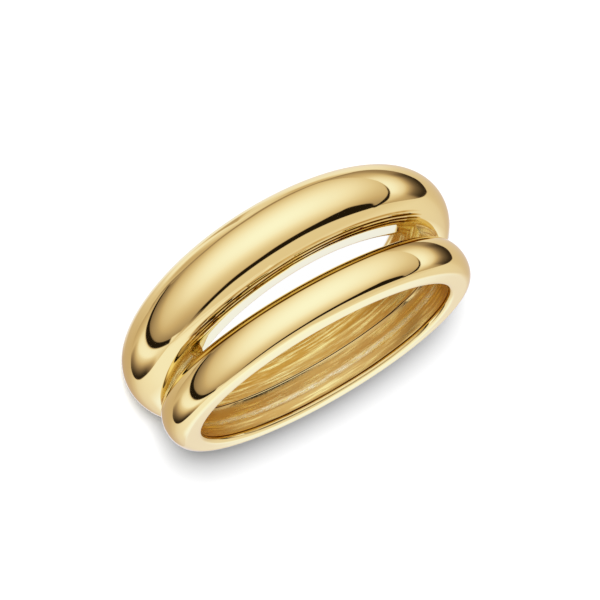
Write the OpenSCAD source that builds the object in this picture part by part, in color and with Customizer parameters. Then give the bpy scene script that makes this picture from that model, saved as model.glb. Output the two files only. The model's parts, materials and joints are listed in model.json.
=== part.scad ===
/* [Finger hole] */
// Radius of the finger hole at its polished lands
bore_r = 8.65; // [7.5:0.05:10.5]
// Polished land left at each rim of the finger hole
rim_land = 0.35; // [0.25:0.05:0.6]
// Depth of the channels scooped out inside the hoop
scoop_depth = 0.2; // [0.1:0.01:0.25]
// Width of the channel inside the near band
near_scoop = 1.95; // [1.6:0.05:2]
// Width of the channel inside the far band at the back
far_scoop = 1.85; // [1.4:0.05:1.9]

/* [Rims] */
// Width from rim to rim at the front, measured along the finger
front_width = 8.35; // [7.8:0.05:9.5]
// How far the near rim comes in from front to back
near_taper = 1.85; // [1.4:0.05:2.1]
// How far the far rim comes in from front to back
far_taper = 1.35; // [0.9:0.05:1.6]

/* [Near band] */
// Width of the near band from the front to the sides
near_width = 2.7; // [2.4:0.05:3]
// Width of the near band at the back, where it runs into the far band
near_width_back = 2.2; // [1.9:0.05:2.5]
// Crest radius of the near band at the front
near_crest_front = 10.55; // [10.2:0.05:11.2]
// Crest radius of the near band at the sides
near_crest_side = 10.5; // [10.2:0.05:11]
// Crest radius of the near band at the back
near_crest_back = 10.1; // [9.8:0.05:10.6]

/* [Far band] */
// Crest radius of the far band at the front
far_crest_front = 11.85; // [11:0.05:12.6]
// Crest radius of the far band at the sides
far_crest_side = 11.15; // [10.6:0.05:11.8]
// Crest radius of the far band at the back
far_crest_back = 10.45; // [10.2:0.05:11]

/* [Between the bands] */
// Gap between the bands at the front
gap_front = 1.35; // [1:0.05:1.7]
// Gap between the bands at the sides, closed by the sunk web
gap_side = 0.4; // [0.2:0.05:0.8]
// How far the bands run into each other at the back
overlap_back = 0.65; // [0.3:0.05:0.9]
// Radius at which the domes start, and the web's surface, at the front
shoulder_front = 9.8; // [9.5:0.05:10]
// Radius at which the domes start, and the web's surface, at the sides
shoulder_side = 9.65; // [9.4:0.05:9.8]
// Radius at which the domes start at the back
shoulder_back = 9.4; // [9.2:0.05:9.6]
// Angle from the front at which the slot ends, on the side towards +X
slot_end_right = 56; // [45:1:62]
// Angle from the front at which the slot ends, on the side towards -X
slot_end_left = 53; // [45:1:62]

/* [Hidden] */
slot_sections = 26;
web_sections = 60;
dome_steps = 13;
core_r = bore_r - 1;
near_tilt = -atan(near_taper / (2 * bore_r));
far_tilt = atan(far_taper / (2 * bore_r));
middle_land_bottom = -4.75;
inner_gap_least = 0.2;
gold = "#e8c36a";

// A size given at the front, at the sides and at the back, at a turn from the front
function round_value(front, side, back, turn) =
    side + (front - back) / 2 * cos(turn) + ((front + back) / 2 - side) * pow(cos(turn), 2);

// How far round to the back a turn is, 0 at the front and 1 at the back
function backward(turn) = (1 - cos(turn)) / 2;

// Heights of the four edges of the two bands, down from the near rim's front
function near_top(turn) = -near_taper * backward(turn);
function near_bottom(turn) =
    near_top(turn) - round_value(near_width, near_width, near_width_back, turn);
function far_top(turn) =
    near_bottom(turn) - round_value(gap_front, gap_side, -overlap_back, turn);
function far_bottom(turn) = far_plane(turn, shoulder(turn));

// Height of the flat far rim at a turn and a radius
function far_plane(turn, r) = -front_width + far_taper / 2 * (1 - r / bore_r * cos(turn));

// A dome over a band is [height of its middle, half its width, rise over the shoulder]
function near_dome(turn) = [
    (near_top(turn) + near_bottom(turn)) / 2,
    (near_top(turn) - near_bottom(turn)) / 2,
    round_value(near_crest_front, near_crest_side, near_crest_back, turn) - shoulder(turn)
];
function far_dome(turn) = [
    (far_top(turn) + far_bottom(turn)) / 2,
    (far_top(turn) - far_bottom(turn)) / 2,
    round_value(far_crest_front, far_crest_side, far_crest_back, turn) - shoulder(turn)
];
function shoulder(turn) = round_value(shoulder_front, shoulder_side, shoulder_back, turn);

// How far a dome stands over its shoulder at a height, 0 outside it
function rise(dome, z) = dome[2] * sqrt(max(0, 1 - pow((z - dome[0]) / dome[1], 2)));

// Height at which two domes that overlap cross each other, between two heights
function crossing(near, far, high, low, tries = 30) =
    let (mid = (high + low) / 2)
    tries == 0 ? mid
    : rise(near, mid) > rise(far, mid) ? crossing(near, far, mid, low, tries - 1)
    : crossing(near, far, high, mid, tries - 1);

// Height at which each dome ends towards the other: its own edge, or the crossing
function near_end(turn) =
    near_bottom(turn) >= far_top(turn) ? near_bottom(turn)
    : crossing(near_dome(turn), far_dome(turn), far_top(turn), near_bottom(turn));
function far_start(turn) =
    near_bottom(turn) >= far_top(turn) ? far_top(turn) : near_end(turn);

// Turn of a height on a dome, 0 at its top edge and 180 at its bottom edge
function dome_turn(dome, z) = acos(max(-1, min(1, (z - dome[0]) / dome[1])));

// Points [radius, height] over a dome from one of its turns to another
function dome_points(dome, base, from, to) = [
    for (i = [0:dome_steps])
        let (a = from + (to - from) * i / dome_steps)
        [base + dome[2] * sin(a), dome[0] + dome[1] * cos(a)]
];

// Section of the whole ring: near rim, near dome, far dome, far rim, slot edges at the bore
function section(turn) =
    let (
        near = near_dome(turn),
        far = far_dome(turn),
        base = shoulder(turn),
        inner_middle = (near_bottom(turn) + far_top(turn)) / 2,
        inner_half = max(near_bottom(turn) - far_top(turn), inner_gap_least) / 2
    )
    concat(
        [[core_r, near_top(turn)]],
        dome_points(near, base, 0, dome_turn(near, near_end(turn))),
        dome_points(far, base, dome_turn(far, far_start(turn)), 180),
        [[core_r, far_plane(turn, core_r)]],
        [[core_r, inner_middle - inner_half]],
        [[core_r, inner_middle + inner_half]]
    );

// A point of a section set at its turn from the front
function at_turn(p, turn) = [p[0] * sin(turn), -p[0] * cos(turn), p[1]];

// Turns of the sections: over the web from slot end to slot end, then along the slot
web_span = 360 - slot_end_right - slot_end_left;
turns = concat(
    [for (i = [0:web_sections - 1]) slot_end_right + web_span * i / web_sections],
    [for (i = [0:slot_sections - 1])
        slot_end_right + web_span + (360 - web_span) * i / slot_sections]
);

// Places of the slot's four edges in a section
near_outer = dome_steps + 1;
far_outer = dome_steps + 2;
far_inner = 2 * dome_steps + 4;
near_inner = 2 * dome_steps + 5;
section_size = 2 * dome_steps + 6;

// The two triangles between two sections, along the edge from place j to place k
function strip(i, j, k) =
    let (
        next = (i + 1) % len(turns),
        a = i * section_size + j,
        b = i * section_size + k,
        c = next * section_size + k,
        d = next * section_size + j
    )
    [[a, c, b], [a, d, c]];

// Flat end of the slot in section i, its order set by the way it looks
function slot_end(i, outward) =
    let (
        s = i * section_size,
        loop = [s + near_outer, s + far_outer, s + far_inner, s + near_inner]
    )
    outward ? [[loop[0], loop[1], loop[2]], [loop[0], loop[2], loop[3]]]
    : [[loop[2], loop[1], loop[0]], [loop[3], loop[2], loop[0]]];

module bands_and_web() {
    points = [for (turn = turns) for (p = section(turn)) at_turn(p, turn)];
    web_part = [for (i = [0:web_sections - 1]) for (j = [0:section_size - 1])
        each strip(i, j, (j + 1) % section_size)];
    slot_part = [for (i = [web_sections:len(turns) - 1]) for (j = [0:section_size - 1])
        each j == near_outer ? strip(i, near_outer, near_inner)
        : j == far_inner ? strip(i, far_inner, far_outer)
        : strip(i, j, (j + 1) % section_size)];
    polyhedron(
        points,
        concat(web_part, slot_part, slot_end(0, true), slot_end(web_sections, false))
    );
}

// Channel with a round bottom, scooped out of the wall in a plane tilted about the axis
module scoop(width, middle, tilt) {
    tube = (pow(width / 2, 2) + pow(scoop_depth, 2)) / (2 * scoop_depth);
    translate([0, 0, middle])
        rotate([tilt, 0, 0])
            rotate_extrude()
                translate([bore_r + scoop_depth - tube, 0])
                    circle(r = tube);
}

module finger_hole() {
    translate([0, 0, -front_width - 1])
        cylinder(r = bore_r, h = front_width + 2);
    scoop(near_scoop, -near_taper / 2 - rim_land - near_scoop / 2, near_tilt);
    scoop(far_scoop, -front_width + far_taper / 2 + rim_land + far_scoop / 2, far_tilt);
    scoop(far_scoop, middle_land_bottom - far_scoop / 2, 0);
}

// The whole ring is one casting, turned so that its far rim lies flat on the floor
module double_band() {
    color(gold)
        rotate([-far_tilt, 0, 0])
            translate([0, 0, front_width - far_taper / 2])
                difference() {
                    bands_and_web();
                    finger_hole();
                }
}

double_band();
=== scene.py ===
"""A polished gold ring of two domed bands cast in one, on a pale floor under soft studio light."""

import json
import math
from functools import cached_property

import bmesh
import bpy
import numpy as np
from bpy.props import FloatProperty, FloatVectorProperty, IntProperty, PointerProperty
from bpy.types import Operator, Panel, PropertyGroup
from mathutils import Matrix, Vector


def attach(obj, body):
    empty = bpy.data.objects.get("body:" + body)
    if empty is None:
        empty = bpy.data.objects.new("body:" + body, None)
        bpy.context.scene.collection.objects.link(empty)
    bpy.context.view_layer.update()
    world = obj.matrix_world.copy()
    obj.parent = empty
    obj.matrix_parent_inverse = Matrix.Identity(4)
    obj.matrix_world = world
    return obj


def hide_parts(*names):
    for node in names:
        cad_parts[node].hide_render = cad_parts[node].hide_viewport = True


bl_info = {
    "name": "Split Dome Ring",
    "version": (1, 0, 0),
    "blender": (4, 5, 0),
    "location": "View3D > Sidebar > Ring",
    "description": "Builds a cast ring of two polished domed bands and the studio it is seen in",
    "category": "Object",
}

MM = 0.001
CASTING_NODE = "double_band"
SKIN = "double_band_skin"
CAST_MASK = "cast"
FLOW = "flow"
SHARP_ANGLE = math.radians(25)

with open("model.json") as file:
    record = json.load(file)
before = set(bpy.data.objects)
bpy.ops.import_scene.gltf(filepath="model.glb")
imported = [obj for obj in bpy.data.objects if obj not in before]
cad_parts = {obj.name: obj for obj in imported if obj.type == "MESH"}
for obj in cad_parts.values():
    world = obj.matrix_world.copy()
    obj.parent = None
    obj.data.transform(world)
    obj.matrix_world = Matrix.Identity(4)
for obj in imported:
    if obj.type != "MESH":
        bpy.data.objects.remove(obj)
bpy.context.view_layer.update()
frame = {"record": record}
hole = next(m for m in frame["record"]["mounts"] if m["name"] == "finger_hole")


def length_property(name, description, *millimetres):
    """A length, or three lengths, that the ring's user may change."""
    lengths = tuple(length * MM for length in millimetres)
    if len(lengths) == 1:
        return FloatProperty(name=name, description=description, default=lengths[0], unit="LENGTH")
    return FloatVectorProperty(name=name, description=description, default=lengths, unit="LENGTH")


def angle_property(name, description, degrees):
    """An angle that the ring's user may change."""
    value = math.radians(degrees)
    return FloatProperty(name=name, description=description, default=value, subtype="ANGLE")


def color_property(name, description, value):
    """A colour that the ring's user may change."""
    return FloatVectorProperty(name=name, description=description, default=value, subtype="COLOR")


def number_property(name, description, value):
    """A plain number that the ring's user may change."""
    return FloatProperty(name=name, description=description, default=value)


class RingSizes(PropertyGroup):
    """Sizes of the casting, measured from the finger hole's axis and the near rim's front.

    Where a size has three values, they hold at the front, at the sides and at the back.
    """

    bore_radius: length_property(
        "Bore Radius", "Radius of the finger hole at its polished lands", hole["dims"]["r_mm"],
    )
    front_width: length_property(
        "Front Width", "Width from rim to rim at the front", hole["dims"]["length_mm"],
    )
    near_taper: length_property("Near Taper", "How far the near rim comes in from front to back", 1.85)
    far_taper: length_property("Far Taper", "How far the far rim comes in from front to back", 1.35)
    near_width: length_property("Near Width", "Width of the near band", 2.7, 2.7, 2.2)
    near_crest: length_property("Near Crest", "Crest radius of the near band", 10.55, 10.5, 10.1)
    far_crest: length_property("Far Crest", "Crest radius of the far band", 11.85, 11.15, 10.45)
    gap: length_property(
        "Gap", "Gap between the bands, less than nothing where they overlap", 1.35, 0.4, -0.65,
    )
    shoulder: length_property("Shoulder", "Radius at which the domes start", 9.8, 9.65, 9.4)
    slot_end_right: angle_property(
        "Slot End Right", "Angle from the front at which the slot ends towards +X", 56,
    )
    slot_end_left: angle_property(
        "Slot End Left", "Angle from the front at which the slot ends towards -X", 53,
    )
    rim_land: length_property("Rim Land", "Polished land left at each rim of the finger hole", 0.35)
    scoop_depth: length_property("Scoop Depth", "Depth of the channels scooped out inside the hoop", 0.2)
    near_scoop: length_property("Near Scoop", "Width of the channel inside the near band", 1.95)
    far_scoop: length_property("Far Scoop", "Width of the two channels inside the far band", 1.85)
    middle_land: length_property(
        "Middle Land", "Height of the far edge of the land between the channels", -4.75,
    )
    land_depth: length_property(
        "Land Depth", "Depth by which the middle land is sunk behind the channels' ridge", 0.05,
    )
    rim_round: length_property("Rim Round", "Radius that the polishing leaves on the hole's rims", 0.27)
    slot_round: length_property("Slot Round", "Radius of the slot's edges at the finger hole", 0.12)
    valley: length_property("Valley", "Least width of the groove's floor between the domes", 0.25)


def round_value(values, turn):
    """A size given at the front, the sides and the back, at turns from the front."""
    front, side, back = values
    c = np.cos(turn)
    return side + (front - back) / 2 * c + ((front + back) / 2 - side) * c * c


# The far band's foot reaches out towards the near band on the side towards +X: how far, and the
# turns at which it starts to, is all out, starts to go back and is back
FOOT_SHIFT = 0.39 * MM
FOOT_TURNS = tuple(map(math.radians, (-10, 70, 72, 108)))
FOOT_POWER = 1.2
# The slot's far edge at the finger hole does so too, up to the slot's end
CUT_SHIFT = 0.6 * MM
CUT_START = math.radians(-15)
CUT_POWER = 1.6
# Turn over which the slot's flanks go from rough to polished, from each end of the slot
POLISHED_TURN = math.radians(12)
# Least level of the groove's floor over the shoulder, and how often its search halves the rest
VALLEY_LEAST = 0.05 * MM
HALVINGS = 40


class Heights:
    """Heights and radii of the casting's edges at an array of turns."""

    def __init__(self, sizes, turn):
        s = sizes
        c = np.cos(turn)
        self.sizes, self.turn, self.cos = s, turn, c
        self.signed = signed = (turn + math.pi) % (2 * math.pi) - math.pi
        self.shoulder = round_value(s.shoulder, turn)
        self.near_top = -s.near_taper * (1 - c) / 2
        self.near_bottom = self.near_top - round_value(s.near_width, turn)
        self.far_top = self.near_bottom - round_value(s.gap, turn)
        self.far_bottom = self.far_plane(self.shoulder)
        self.near_mid = (self.near_top + self.near_bottom) / 2
        self.near_half = (self.near_top - self.near_bottom) / 2
        self.near_rise = round_value(s.near_crest, turn) - self.shoulder
        self.far_mid = (self.far_top + self.far_bottom) / 2
        self.far_half = (self.far_top - self.far_bottom) / 2
        self.far_rise = round_value(s.far_crest, turn) - self.shoulder
        self.near_dome = ((self.shoulder, self.near_mid), (self.near_rise, self.near_half))
        self.far_dome = ((self.shoulder, self.far_mid), (self.far_rise, self.far_half))
        off_end = np.minimum(s.slot_end_right - signed, s.slot_end_left + signed)
        self.polished = np.clip(off_end / POLISHED_TURN, 0, 1)
        start, full, keep, end = FOOT_TURNS
        rising = np.sin(math.pi / 2 * np.clip((signed - start) / (full - start), 0, 1)) ** FOOT_POWER
        falling = np.cos(math.pi / 2 * np.clip((signed - keep) / (end - keep), 0, 1)) ** 2
        self.foot = FOOT_SHIFT * rising * falling
        share = np.clip((signed - CUT_START) / (s.slot_end_right - CUT_START), 0, 1)
        self.far_cut = self.far_top + CUT_SHIFT * share**CUT_POWER

    def far_plane(self, radius):
        """Height of the flat far rim at a radius."""
        s = self.sizes
        return -s.front_width + s.far_taper / 2 * (1 - radius / s.bore_radius * self.cos)

    def valley_width(self, level):
        """Width between the two domes at a level over their shoulder."""
        near = self.near_half * np.sqrt(np.clip(1 - (level / self.near_rise) ** 2, 0, 1))
        far = self.far_half * np.sqrt(np.clip(1 - (level / self.far_rise) ** 2, 0, 1))
        return (self.near_mid - near) - (self.far_mid + far + self.foot_shift(level))

    def foot_shift(self, level):
        """How far the far dome's flank reaches out over its ellipse at a level over the shoulder."""
        return self.foot * np.clip(1 - level / self.far_rise, 0, 1) ** 2

    @cached_property
    def valley_level(self):
        """Level over the shoulder at which the groove is as wide as its floor has to be."""
        low = np.full(self.turn.shape, VALLEY_LEAST)
        high = np.minimum(self.near_rise, self.far_rise)
        for _ in range(HALVINGS):
            middle = (low + high) / 2
            wide = self.valley_width(middle) > self.sizes.valley
            high = np.where(wide, middle, high)
            low = np.where(wide, low, middle)
        return high

    @property
    def near_valley(self):
        """Angle over the near dome at which the groove's floor starts."""
        return math.pi - np.arcsin(self.valley_level / self.near_rise)

    @property
    def far_valley(self):
        """Angle over the far dome at which the groove's floor starts."""
        return np.arcsin(self.valley_level / self.far_rise)


# Steps of points along the stretches of a section, and sections round the web and along the slot.
# Stretches with more than one number go from the groove to the crest and on, or down the slot's wall.
LAND_STEPS = 2
RIDGE_STEPS = 4
NEAR_CHANNEL_STEPS = 14
FAR_CHANNEL_STEPS = 18
ROUND_STEPS = 5
RIM_STEPS = 5
NEAR_DOME_STEPS = (20, 19)
FAR_DOME_STEPS = (22, 10, 21)
FLOOR_STEPS = 8
WALL_STEPS = (2, 4, 4)
WEB_SECTIONS = 380
SLOT_SECTIONS = 182

# Forms that the casting and the polishing leave inside the finger hole and in the groove
RIDGE = 0.15 * MM
RIDGE_SOFTNESS = 0.02 * MM
LIP_DEPTH = 0.04 * MM
LIP_REACH = 0.1 * MM
FLOOR_REACH = 0.17 * MM

# The cast mask is 1 where the gold is rough as cast, 0 where it is polished and -1 where a line of dark
# shade is painted
CAST_EDGE = 0.03 * MM
NEAR_CAST = 0.75
LAND_CAST = 0.9
SHADE_LINE = -1.0
FLANK_CAST_REACH = 0.14 * MM
FLANK_CAST_FADE = 0.1 * MM
# Two channels cross in a smoother line where they are further apart than a least shift
CROSSING_CAST = 0.3
CROSSING_WIDTH = 0.09 * MM
CROSSING_SHIFT = 0.25 * MM

# Painted lines of dark shade along the slot, each at an angle up its dome, and the fine ridges between
# them
NEAR_SHADE_LINES = tuple(map(math.radians, (130, 146)))
NEAR_SHADE_DEPTHS = (1.0, 1.0)
NEAR_SHADE_WIDTH = math.radians(5)
FAR_SHADE_LINES = tuple(map(math.radians, (8.4, 14.6, 20.8, 27)))
FAR_SHADE_DEPTHS = (1.0, 1.0, 0.9, 0.35)
FAR_SHADE_WIDTH = math.radians(2.7)
RIDGE_HEIGHT = 0.02 * MM
# How the far painted shade lines climb towards +X, and the share of their flank that has the finer steps
SHADE_LINE_LEAN = 0.2
FAR_SPLIT = 0.38


def column(values):
    """Values at every turn, or one value for all of them, as a column."""
    return np.reshape(values, (-1, 1))


def between(start, end, steps):
    """Values in even steps from a start to an end, at every turn."""
    share = np.linspace(0, 1, steps + 1)
    return column(start) * (1 - share) + column(end) * share


def polished(radius, height):
    """Points [radius, height, cast] of polished gold."""
    radius, height = np.broadcast_arrays(radius, height)
    return np.stack([radius, height, np.zeros(radius.shape)], axis=2)


def straight(start, end, steps):
    """Points from a start [radius, height] to an end, at every turn."""
    return polished(between(start[0], end[0], steps), between(start[1], end[1], steps))


def elliptic(centre, half_axes, start, end, steps):
    """Points over an ellipse, its angle 0 at its top edge and 180 degrees at its bottom edge."""
    angle = between(start, end, steps)
    radius = column(centre[0]) + column(half_axes[0]) * np.sin(angle)
    height = column(centre[1]) + column(half_axes[1]) * np.cos(angle)
    return polished(radius, height)


def tube_radius(half, depth):
    """Radius of the round tube that scoops out a channel of half a width and a depth."""
    return (half**2 + depth**2) / (2 * depth)


def channel_depth(height, low, high, depth):
    """Depth of a round-bottomed channel between two heights, negative outside it."""
    tube = tube_radius((high - low) / 2, depth)
    reach = tube**2 - (height - (low + high) / 2) ** 2
    return np.sqrt(np.clip(reach, 0, None)) - (tube - depth)


def near_channel(s, height, top):
    """Depth of the channel inside the near band, which is scooped deeper behind its ridge."""
    bottom = top - s.near_scoop
    depth = channel_depth(height, bottom, top, s.scoop_depth)
    lip = LIP_DEPTH * np.clip((height - bottom) / LIP_REACH, 0, 1)
    return np.where(depth > 0, depth + np.minimum(lip, np.clip(top - height, 0, None)), depth)


def crossing_cast(s, near, far, level, shift):
    """How rough the far and the level channel are, less along the line where they cross."""
    tube = tube_radius(s.far_scoop / 2, s.scoop_depth)
    off_line = np.abs(far - level) * tube / np.maximum(shift, CROSSING_SHIFT)
    crossing = (far > 0) & (level > 0) & (near < 0) & (shift > CROSSING_SHIFT)
    return np.where(crossing, np.clip(off_line / CROSSING_WIDTH, CROSSING_CAST, 1), 1)


def wall(h, low, high, steps):
    """Points up the wall of the finger hole, sunk and rough where a channel is scooped out of it."""
    s = h.sizes
    height = between(low, high, steps)
    near_high = column(h.near_top - s.rim_land)
    far_low = column(h.far_plane(s.bore_radius) + s.rim_land)
    far_high = far_low + s.far_scoop
    near = near_channel(s, height, near_high)
    far = channel_depth(height, far_low, far_high, s.scoop_depth)
    level = channel_depth(height, s.middle_land - s.far_scoop, s.middle_land, s.scoop_depth)
    both = (far + level + np.sqrt((far - level) ** 2 + RIDGE_SOFTNESS**2) - RIDGE_SOFTNESS) / 2
    off_ridge = np.clip((near_high - s.near_scoop - height) / RIDGE, 0, 1)
    land = s.land_depth * np.sin(math.pi / 2 * off_ridge) ** 2 * (height > far_low + RIDGE)
    sunk = np.clip(np.maximum(near, np.maximum(both, land)), 0, None)
    cast = np.clip(sunk / CAST_EDGE, 0, 1)
    cast *= np.where(near >= sunk, NEAR_CAST, np.where(both >= sunk, 1, LAND_CAST))
    cast *= crossing_cast(s, near, far, level, np.abs(far_high - s.middle_land))
    return np.stack([s.bore_radius + sunk, height, cast], axis=2)


def roughen_flank(h, dome, rise):
    """Makes points over a dome rough down its flank, where it runs into the groove."""
    floor = column(h.shoulder + h.valley_level)
    depth = np.clip(column(h.shoulder + rise) - floor, 0, None)
    reach = np.minimum(FLANK_CAST_REACH, depth / 2)
    cast = np.clip((floor + reach - dome[..., 0]) / np.minimum(FLANK_CAST_FADE, reach), 0, 1)
    dome[..., 2] = cast * column(1 - h.polished)


def shade_lines(h, angle, places, depths, width):
    """Cast mask of painted lines of dark shade along a polished flank, at some of its angles."""
    dark = 0 * angle
    for place, depth in zip(places, depths, strict=True):
        dark += depth * np.clip(1 - np.abs(angle - place) / width, 0, 1)
    return SHADE_LINE * dark * column(h.polished)


def level_on(h, dome, rise):
    """How high points over a dome are between its shoulder, 0, and its crest, 1."""
    return np.clip((dome[..., 0] - column(h.shoulder)) / column(rise), 0, 1)


def far_flank(h):
    """The far dome's flank from the groove up to its crest, drawn in fine ridges along the slot."""
    start = h.far_valley
    split = start + (math.pi / 2 - start) * FAR_SPLIT
    points = joined(
        elliptic(*h.far_dome, start, split, FAR_DOME_STEPS[0]),
        elliptic(*h.far_dome, split, math.pi / 2, FAR_DOME_STEPS[1]),
    )
    level = level_on(h, points, h.far_rise)
    angle = np.arcsin(level) / (1 - SHADE_LINE_LEAN * column(h.signed))
    roughen_flank(h, reached_out(h, points), h.far_rise)
    points[..., 2] += shade_lines(h, angle, FAR_SHADE_LINES, FAR_SHADE_DEPTHS, FAR_SHADE_WIDTH)
    pitch = FAR_SHADE_LINES[1] - FAR_SHADE_LINES[0]
    ridged = (angle < FAR_SHADE_LINES[-1]) & (angle > FAR_SHADE_LINES[0] - pitch)
    wave = np.where(ridged, 1 - np.cos(2 * math.pi * (angle - FAR_SHADE_LINES[0]) / pitch), 0)
    height = RIDGE_HEIGHT * wave * column(h.polished)
    points[..., 0] += height * level
    points[..., 1] += height * np.sqrt(1 - level**2)
    return points


def reached_out(h, dome):
    """The same points over the far dome, reaching out towards the near band at its foot."""
    dome[..., 1] += h.foot_shift(dome[..., 0].T - h.shoulder).T
    return dome


def joined(*stretches):
    """One run of points from stretches that each start where the last one ends."""
    return np.concatenate([stretches[0]] + [s[:, 1:] for s in stretches[1:]], axis=1)


def near_run(h, near_edge):
    """From the land's near edge up the hole, round the near rim and over the near dome."""
    s = h.sizes
    rim = s.bore_radius + s.rim_round
    round_end = h.near_top - s.rim_round
    channel_end = h.near_top - s.rim_land
    channel_start = channel_end - s.near_scoop
    flank = elliptic(*h.near_dome, math.pi / 2, h.near_valley, NEAR_DOME_STEPS[0])
    roughen_flank(h, flank, h.near_rise)
    angle = math.pi - np.arcsin(level_on(h, flank, h.near_rise))
    flank[..., 2] += shade_lines(h, angle, NEAR_SHADE_LINES, NEAR_SHADE_DEPTHS, NEAR_SHADE_WIDTH)
    channel = wall(h, channel_start, channel_end, NEAR_CHANNEL_STEPS)
    # A painted line of dark shade along the channel's end at the near lip
    channel[:, -1, 2] = SHADE_LINE
    # One painted line of dark shade along the ridge, and a polished line between it and the channel
    ridge = wall(h, channel_start - RIDGE, channel_start, RIDGE_STEPS)
    ridge[:, 1:3, 2] = SHADE_LINE
    ridge[:, 3, 2] = 0
    return joined(
        wall(h, near_edge, channel_start - RIDGE, LAND_STEPS),
        ridge,
        channel,
        wall(h, channel_end, round_end, 1),
        elliptic((rim, round_end), (s.rim_round, s.rim_round), -math.pi / 2, 0, ROUND_STEPS),
        straight((rim, h.near_top), (h.shoulder, h.near_top), RIM_STEPS),
        elliptic(*h.near_dome, 0, math.pi / 2, NEAR_DOME_STEPS[1]),
        flank,
    )


def far_run(h, far_edge):
    """From the far dome's start over it, round the far rim and up the hole to the middle land."""
    s = h.sizes
    rim = s.bore_radius + s.rim_round
    hole_end = h.far_plane(s.bore_radius)
    round_end, channel_start = hole_end + s.rim_round, hole_end + s.rim_land
    return joined(
        far_flank(h),
        elliptic(*h.far_dome, math.pi / 2, math.pi, FAR_DOME_STEPS[2]),
        straight((h.shoulder, h.far_bottom), (rim, h.far_plane(rim)), RIM_STEPS),
        elliptic((rim, round_end), (s.rim_round, s.rim_round), math.pi, 1.5 * math.pi, ROUND_STEPS),
        wall(h, round_end, channel_start, 1),
        wall(h, channel_start, s.middle_land, FAR_CHANNEL_STEPS),
        wall(h, s.middle_land, far_edge, LAND_STEPS),
    )


def unit(vectors):
    """Vectors of length 1 along others."""
    return vectors / column(np.linalg.norm(vectors, axis=1))


def groove_floor(h, near_end, far_start):
    """Rough floor of the groove, a soft trough that carries on from the slopes of both domes."""
    level = h.valley_level
    near_run_in = np.sqrt(np.clip(h.near_rise**2 - level**2, 0, None))
    far_run_in = np.sqrt(np.clip(h.far_rise**2 - level**2, 0, None))
    far_reach = 2 * h.foot / h.far_rise * (1 - level / h.far_rise) * far_run_in
    near_slope = unit(np.stack([-near_run_in, -h.near_half * level / h.near_rise], axis=1))
    far_slope = unit(np.stack([-far_run_in, h.far_half * level / h.far_rise + far_reach], axis=1))
    width = near_end[:, 1] - far_start[:, 1]
    reach = column(np.minimum(width * 2 / 3, FLOOR_REACH))
    near_end, far_start = near_end[:, :2], far_start[:, :2]
    corners = (near_end, near_end + near_slope * reach, far_start + far_slope * reach, far_start)
    share = np.linspace(0, 1, FLOOR_STEPS + 1)[:, None]
    weights = ((1 - share) ** 3, 3 * share * (1 - share) ** 2, 3 * share**2 * (1 - share), share**3)
    points = sum(c[:, None, :] * w for c, w in zip(corners, weights, strict=True))
    return np.concatenate([points, np.ones(points[..., :1].shape)], axis=2)


def slot_wall(h, flank, edge, cut, inward):
    """Wall of the slot, a clean cut from its dome's flank down to its rounded inner edge."""
    s = h.sizes
    corner = s.bore_radius + s.slot_round
    flank[..., 2] = column(1 - h.polished) * np.linspace(1, 0, WALL_STEPS[0] + 1)
    start, end = (0, -math.pi / 2) if inward > 0 else (math.pi, 1.5 * math.pi)
    rounding = (s.slot_round, s.slot_round)
    return joined(
        flank,
        straight((h.shoulder, edge), (corner, cut), WALL_STEPS[1]),
        elliptic((corner, cut - inward * s.slot_round), rounding, start, end, WALL_STEPS[2]),
    )


def near_slot_wall(h):
    """Wall of the slot under the near dome."""
    flank = elliptic(*h.near_dome, h.near_valley, math.pi, WALL_STEPS[0])
    return slot_wall(h, flank, h.near_bottom, h.near_bottom, -1)


def far_slot_wall(h):
    """Wall of the slot over the far dome, which closes in on the near band at the slot's right end."""
    flank = reached_out(h, elliptic(*h.far_dome, h.far_valley, 0, WALL_STEPS[0]))
    return slot_wall(h, flank, h.far_top + h.foot, h.far_cut, 1)


class Skin:
    """Gathers rows of points round the finger hole and the faces between them."""

    def __init__(self):
        self.points, self.faces, self.count = [], [], 0

    def add(self, turn, rows):
        """Places rows of [radius, height, cast] at their turns and returns their numbers."""
        side, ahead = np.sin(column(turn)), -np.cos(column(turn))
        radius, height, cast = np.moveaxis(rows, 2, 0)
        placed = np.stack([radius * side, radius * ahead, height, cast], axis=2)
        self.points.append(placed.reshape(-1, 4))
        numbers = self.count + np.arange(radius.size).reshape(radius.shape)
        self.count += numbers.size
        return numbers

    def cover(self, numbers):
        """Lays faces over a grid of point numbers."""
        corners = (numbers[:-1, :-1], numbers[:-1, 1:], numbers[1:, 1:], numbers[1:, :-1])
        self.faces.append(np.stack(corners, axis=2).reshape(-1, 4))


def end_patch(skin, turn, floor_row, land_row, near_wall, far_wall, floor_ids, land_ids):
    """Closes one end of the slot with a flat rough face, and returns the numbers of its two sides."""
    u = np.linspace(0, 1, len(floor_row))[:, None, None]
    v = np.linspace(0, 1, len(near_wall))[None, :, None]
    blend = (
        (1 - v) * floor_row[:, None] + v * land_row[:, None]
        + (1 - u) * near_wall[None] + u * far_wall[None]
        - (1 - u) * ((1 - v) * near_wall[0] + v * near_wall[-1])
        - u * ((1 - v) * far_wall[0] + v * far_wall[-1])
    )
    blend[..., 2] = 1
    inner = skin.add(np.full(len(floor_row), turn), blend[:, 1:-1])
    numbers = np.concatenate([floor_ids[:, None], inner, land_ids[:, None]], axis=1)
    skin.cover(numbers)
    return numbers[0], numbers[-1]


def bridged(first, inner, last):
    """Point numbers of a run between two runs, whose facing sides it shares."""
    return np.concatenate([first[:, -1:], inner, last[:, :1]], axis=1)


def land_edge(web, edge):
    """Line along the land round the web, from one edge of the slot's end to its other end."""
    low = web.sizes.middle_land
    width = web.near_top - web.sizes.rim_land - web.sizes.near_scoop - RIDGE - low
    share = (edge - low) / width
    return low + width * np.linspace(share[0], share[-1], len(edge))


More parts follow.
